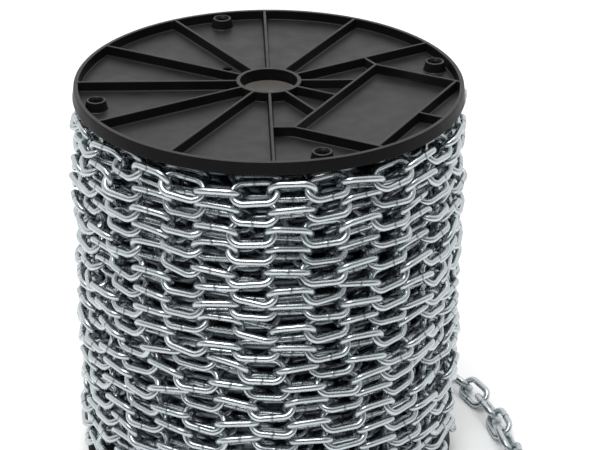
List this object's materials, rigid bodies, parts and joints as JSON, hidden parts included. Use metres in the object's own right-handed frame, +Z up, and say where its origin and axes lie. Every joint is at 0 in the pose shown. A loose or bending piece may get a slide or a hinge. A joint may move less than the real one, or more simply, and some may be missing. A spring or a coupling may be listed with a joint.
{
  "type": "chain reel",
  "caption": "Black ribbed plastic spool wound with bright zinc-plated welded link chain, its loose end lying on the floor.",
  "frame": {"origin": "centre of the spool's bottom face, on the spindle axis", "axes": "+Z up along the spindle axis, +X towards the side where the chain's loose end lies, one flange rib along +Y"},
  "size_m": [0.4111, 0.35, 0.373],
  "materials": {
    "spool_plastic": "satin",
    "core_board": "matte",
    "zinc_plate": "gloss",
    "wound_chain": "satin"
  },
  "bodies": {
    "spool": {"top_flange": "spool_plastic", "bottom_flange": "spool_plastic", "core_tube": "core_board", "inner_winding": "wound_chain", "chain_turn_01": "zinc_plate", "chain_turn_02": "zinc_plate", "chain_turn_03": "zinc_plate", "chain_turn_04": "zinc_plate", "chain_turn_05": "zinc_plate", "chain_turn_06": "zinc_plate", "chain_turn_07": "zinc_plate", "chain_turn_08": "zinc_plate", "chain_turn_09": "zinc_plate", "chain_turn_10": "zinc_plate", "chain_turn_11": "zinc_plate", "chain_turn_12": "zinc_plate", "chain_turn_13": "zinc_plate", "chain_turn_14": "zinc_plate", "chain_turn_15": "zinc_plate", "chain_turn_16": "zinc_plate", "chain_turn_17": "zinc_plate", "chain_turn_18": "zinc_plate", "tail_link_01": "zinc_plate", "tail_link_02": "zinc_plate"},
    "link_03": {"tail_link_03": "zinc_plate"},
    "link_04": {"tail_link_04": "zinc_plate"},
    "link_05": {"tail_link_05": "zinc_plate"},
    "link_06": {"tail_link_06": "zinc_plate"},
    "link_07": {"tail_link_07": "zinc_plate"},
    "link_08": {"tail_link_08": "zinc_plate"},
    "link_09": {"tail_link_09": "zinc_plate"},
    "link_10": {"tail_link_10": "zinc_plate"},
    "link_11": {"tail_link_11": "zinc_plate"},
    "link_12": {"tail_link_12": "zinc_plate"},
    "link_13": {"tail_link_13": "zinc_plate"}
  },
  "joints": [
    {"name": "swing_03", "type": "hinge", "parent": "spool", "child": "link_03", "pos_m": [0.07878, 0.16102, 0.02058], "axis": [-0.0508, -0.7054, -0.707], "range_deg": [-75, 0]},
    {"name": "swing_04", "type": "hinge", "parent": "link_03", "child": "link_04", "pos_m": [0.10878, 0.15887, 0.01442], "axis": [-0.0805, 0.7145, -0.695], "range_deg": [-75, 15]},
    {"name": "swing_05", "type": "hinge", "parent": "link_04", "child": "link_05", "pos_m": [0.13762, 0.1487, 0.01114], "axis": [0.2953, 0.6475, 0.7025], "range_deg": [-15, 75]},
    {"name": "swing_06", "type": "hinge", "parent": "link_05", "child": "link_06", "pos_m": [0.16325, 0.13179, 0.00934], "axis": [-0.3364, -0.6236, 0.7057], "range_deg": [-45, 75]},
    {"name": "swing_07", "type": "hinge", "parent": "link_06", "child": "link_07", "pos_m": [0.18406, 0.10913, 0.00954], "axis": [-0.5086, -0.4912, -0.7071], "range_deg": [-75, 15]},
    {"name": "swing_08", "type": "hinge", "parent": "link_07", "child": "link_08", "pos_m": [0.19877, 0.08212, 0.00954], "axis": [0.6124, 0.3536, -0.7071], "range_deg": [-75, 75]},
    {"name": "swing_09", "type": "hinge", "parent": "link_08", "child": "link_09", "pos_m": [0.21094, 0.05397, 0.00954], "axis": [-0.646, -0.2876, -0.7071], "range_deg": [-75, 20]},
    {"name": "swing_10", "type": "hinge", "parent": "link_09", "child": "link_10", "pos_m": [0.21897, 0.02436, 0.00954], "axis": [0.6797, 0.1949, -0.7071], "range_deg": [-75, 75]},
    {"name": "swing_11", "type": "hinge", "parent": "link_10", "child": "link_11", "pos_m": [0.22397, -0.0059, 0.00954], "axis": [0.6964, 0.1228, 0.7071], "range_deg": [-40, 75]},
    {"name": "swing_12", "type": "hinge", "parent": "link_11", "child": "link_12", "pos_m": [0.22695, -0.03641, 0.00954], "axis": [-0.7032, -0.0739, 0.7071], "range_deg": [-75, 75]},
    {"name": "swing_13", "type": "hinge", "parent": "link_12", "child": "link_13", "pos_m": [0.22544, -0.06706, 0.00954], "axis": [0.7067, -0.0247, 0.7071], "range_deg": [-75, 75]}
  ]
}
